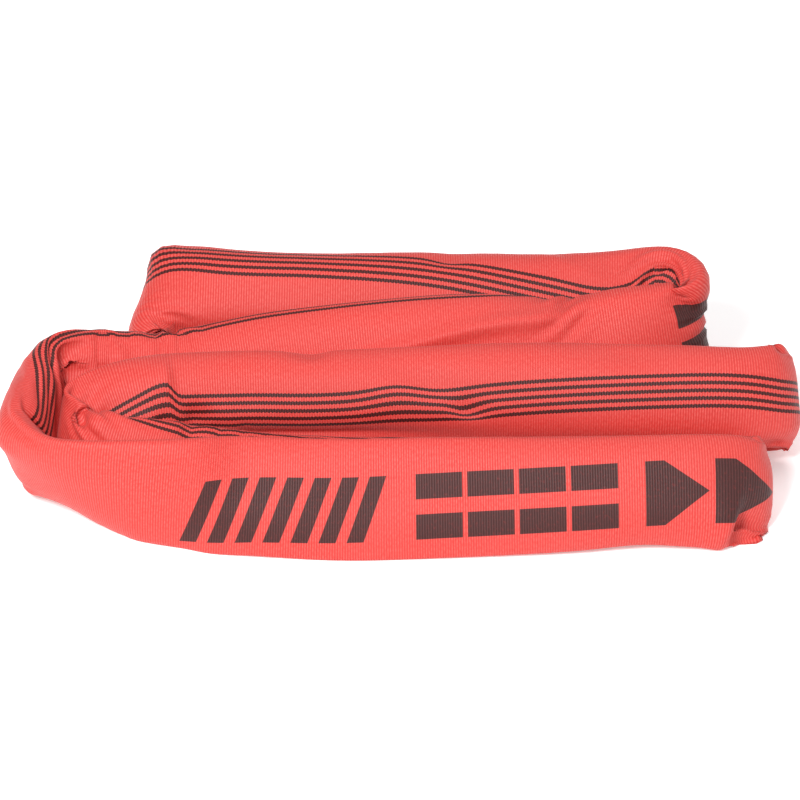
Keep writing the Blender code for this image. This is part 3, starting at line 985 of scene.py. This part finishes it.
def tag_look():
    """Blue coated textile with three blank pale panels and a fine weave."""
    g = Graph("coated_tag_textile")
    x, y = g.cloth_places()
    crossing = g.math("MULTIPLY", g.wave(x, TAG_WEAVE_PITCH), g.wave(y, TAG_WEAVE_PITCH))
    weave = g.math("MULTIPLY_ADD", crossing, 0.5, 0.5)
    in_width = g.ramp(g.math("ABSOLUTE", x), PANEL_WIDTH / 2 + PANEL_EDGE, PANEL_WIDTH / 2)
    from_middle = g.math("WRAP", g.math("SUBTRACT", y, PANEL_MIDDLE), PANEL_PITCH / 2, -PANEL_PITCH / 2)
    in_row = g.ramp(g.math("ABSOLUTE", from_middle), PANEL_HEIGHT / 2 + PANEL_EDGE, PANEL_HEIGHT / 2)
    past_start = g.math("GREATER_THAN", y, PANELS_START)
    before_end = g.math("LESS_THAN", y, PANELS_END)
    in_panel = g.math("MULTIPLY", in_width, in_row)
    in_length = g.math("MULTIPLY", past_start, before_end)
    panel = g.math("MULTIPLY", in_panel, in_length)
    blue = g.mix(weave, linear((22, 60, 132)), linear((44, 92, 170)))
    pale = g.mix(weave, linear((214, 220, 228)), linear((236, 240, 244)))
    g.settle(g.mix(panel, blue, pale), 0.55, weave, 0.08 * MM)
    return g.material


def film_look():
    """Clear soft film, glossy and a little wavy."""
    g = Graph("clear_film")
    wavy = g.noise(60.0, 2.0)
    colour = g.mix(wavy, linear((220, 228, 234)), linear((240, 244, 248)))
    g.settle(colour, g.ramp(wavy, 0.3, 0.7, 0.08, 0.2), wavy, 0.5 * MM)
    g.shader.inputs["Alpha"].default_value = 0.25
    g.shader.inputs["IOR"].default_value = 1.5
    return g.material


# The studio.
VIEW_ELEVATION = math.radians(35)
VIEW_DISTANCE = 6.2
LENS_MM = 400.0
SENSOR_MM = 36.0
VIEW_POINT = (0.0, 110.0, 57.8)  # in millimetres, as on the route
VIEW_REACH = 50.0
WORLD_LIGHT = 0.44
LIGHTS = (
    # Name, place, size and power in watts.
    ("key", (-0.9, -1.9, 2.1), 0.8, 95),
    ("top", (0.4, 0.9, 2.2), 2.0, 16),
    ("fill", (2.2, -0.7, 1.0), 1.5, 10),
)
FLOOR_CORNERS = ((-9.0, -9.0, 0.0), (9.0, -9.0, 0.0), (9.0, 9.0, 0.0), (-9.0, 9.0, 0.0))


def make_camera(route):
    target = Vector(route.origin) + Vector(VIEW_POINT) * MM
    data = bpy.data.cameras.new("camera")
    data.lens = LENS_MM
    data.sensor_width = SENSOR_MM
    data.clip_end = VIEW_REACH
    camera = bpy.data.objects.new("camera", data)
    bpy.context.scene.collection.objects.link(camera)
    offset = Vector((0, -math.cos(VIEW_ELEVATION), math.sin(VIEW_ELEVATION))) * VIEW_DISTANCE
    camera.location = target + offset
    camera.rotation_euler = (math.pi / 2 - VIEW_ELEVATION, 0, 0)
    bpy.context.scene.camera = camera


def area_light(name, place, size, power):
    data = bpy.data.lights.new(name, "AREA")
    data.size = size
    data.energy = power
    light = bpy.data.objects.new(name, data)
    bpy.context.scene.collection.objects.link(light)
    light.location = place
    light.rotation_euler = Vector(place).to_track_quat("Z", "Y").to_euler()


def make_studio():
    scene = bpy.context.scene
    scene.view_settings.view_transform = "Standard"
    world = bpy.data.worlds.new("studio")
    scene.world = world
    world.use_nodes = True
    background = world.node_tree.nodes["Background"]
    background.inputs["Color"].default_value = (1.0, 1.0, 1.0, 1.0)
    background.inputs["Strength"].default_value = WORLD_LIGHT
    for light in LIGHTS:
        area_light(*light)
    floor = mesh_object("floor", np.array(FLOOR_CORNERS), np.array([(0, 1, 2, 3)]), glowing_floor_look())


route = Route()
make_studio()
make_camera(route)
sleeve = Sleeve(route)
make_sleeve(sleeve, sleeve_look(route))
yarn_look = plain_look("undyed_yarn", linear(YARN_COLOUR), 0.7)
make_hank(sleeve, yarn_look)
make_tie(route, sleeve, yarn_look)
thread_look = plain_look("red_thread", linear(THREAD_COLOUR), 0.5)
make_join_stitches(sleeve, thread_look)
hinge = Vector(frame["joints"][0]["pos_m"])
make_tag_stitches(hinge, thread_look)
make_tag(hinge, tag_look(), film_look())
